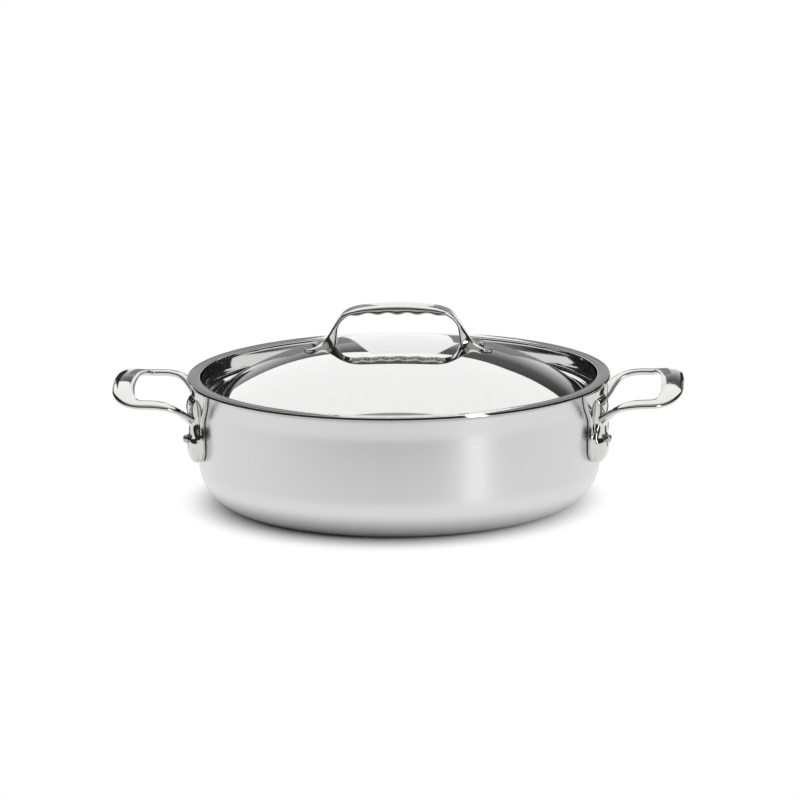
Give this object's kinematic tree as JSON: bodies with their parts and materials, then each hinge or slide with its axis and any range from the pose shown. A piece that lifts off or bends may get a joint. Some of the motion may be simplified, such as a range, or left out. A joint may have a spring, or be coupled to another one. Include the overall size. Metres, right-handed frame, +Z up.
{
  "type": "saute pan",
  "caption": "Low straight-walled steel saute pan with loop handles at the sides, a flared lip and a recessed domed lid with a bridge handle; for frying, braising and serving.",
  "frame": {"origin": "centre of the base's flat underside, on the surface that the pan stands on", "axes": "+X from handle to handle, +Z up along the pan's axis, +Y away from the viewer of the picture"},
  "size_m": [0.401, 0.298, 0.1401],
  "materials": {
    "satin_steel": "satin, brushed round the pan",
    "mirror_steel": "mirror polished",
    "cast_steel": "polished casting",
    "rivet_steel": "semi-bright, as upset"
  },
  "bodies": {
    "pan": {"pan_body": "satin_steel", "handle_right": "cast_steel", "handle_left": "cast_steel", "handle_rivet_right_front": "rivet_steel", "handle_rivet_right_back": "rivet_steel", "handle_rivet_left_front": "rivet_steel", "handle_rivet_left_back": "rivet_steel"},
    "lid": {"lid_shell": "mirror_steel", "lid_handle": "cast_steel", "lid_rivet_right": "rivet_steel", "lid_rivet_left": "rivet_steel"}
  },
  "joints": [
    {"name": "lid_lift", "type": "slide", "parent": "pan", "child": "lid", "axis": [0, 0, 1], "range_m": [0, 0.15]}
  ]
}
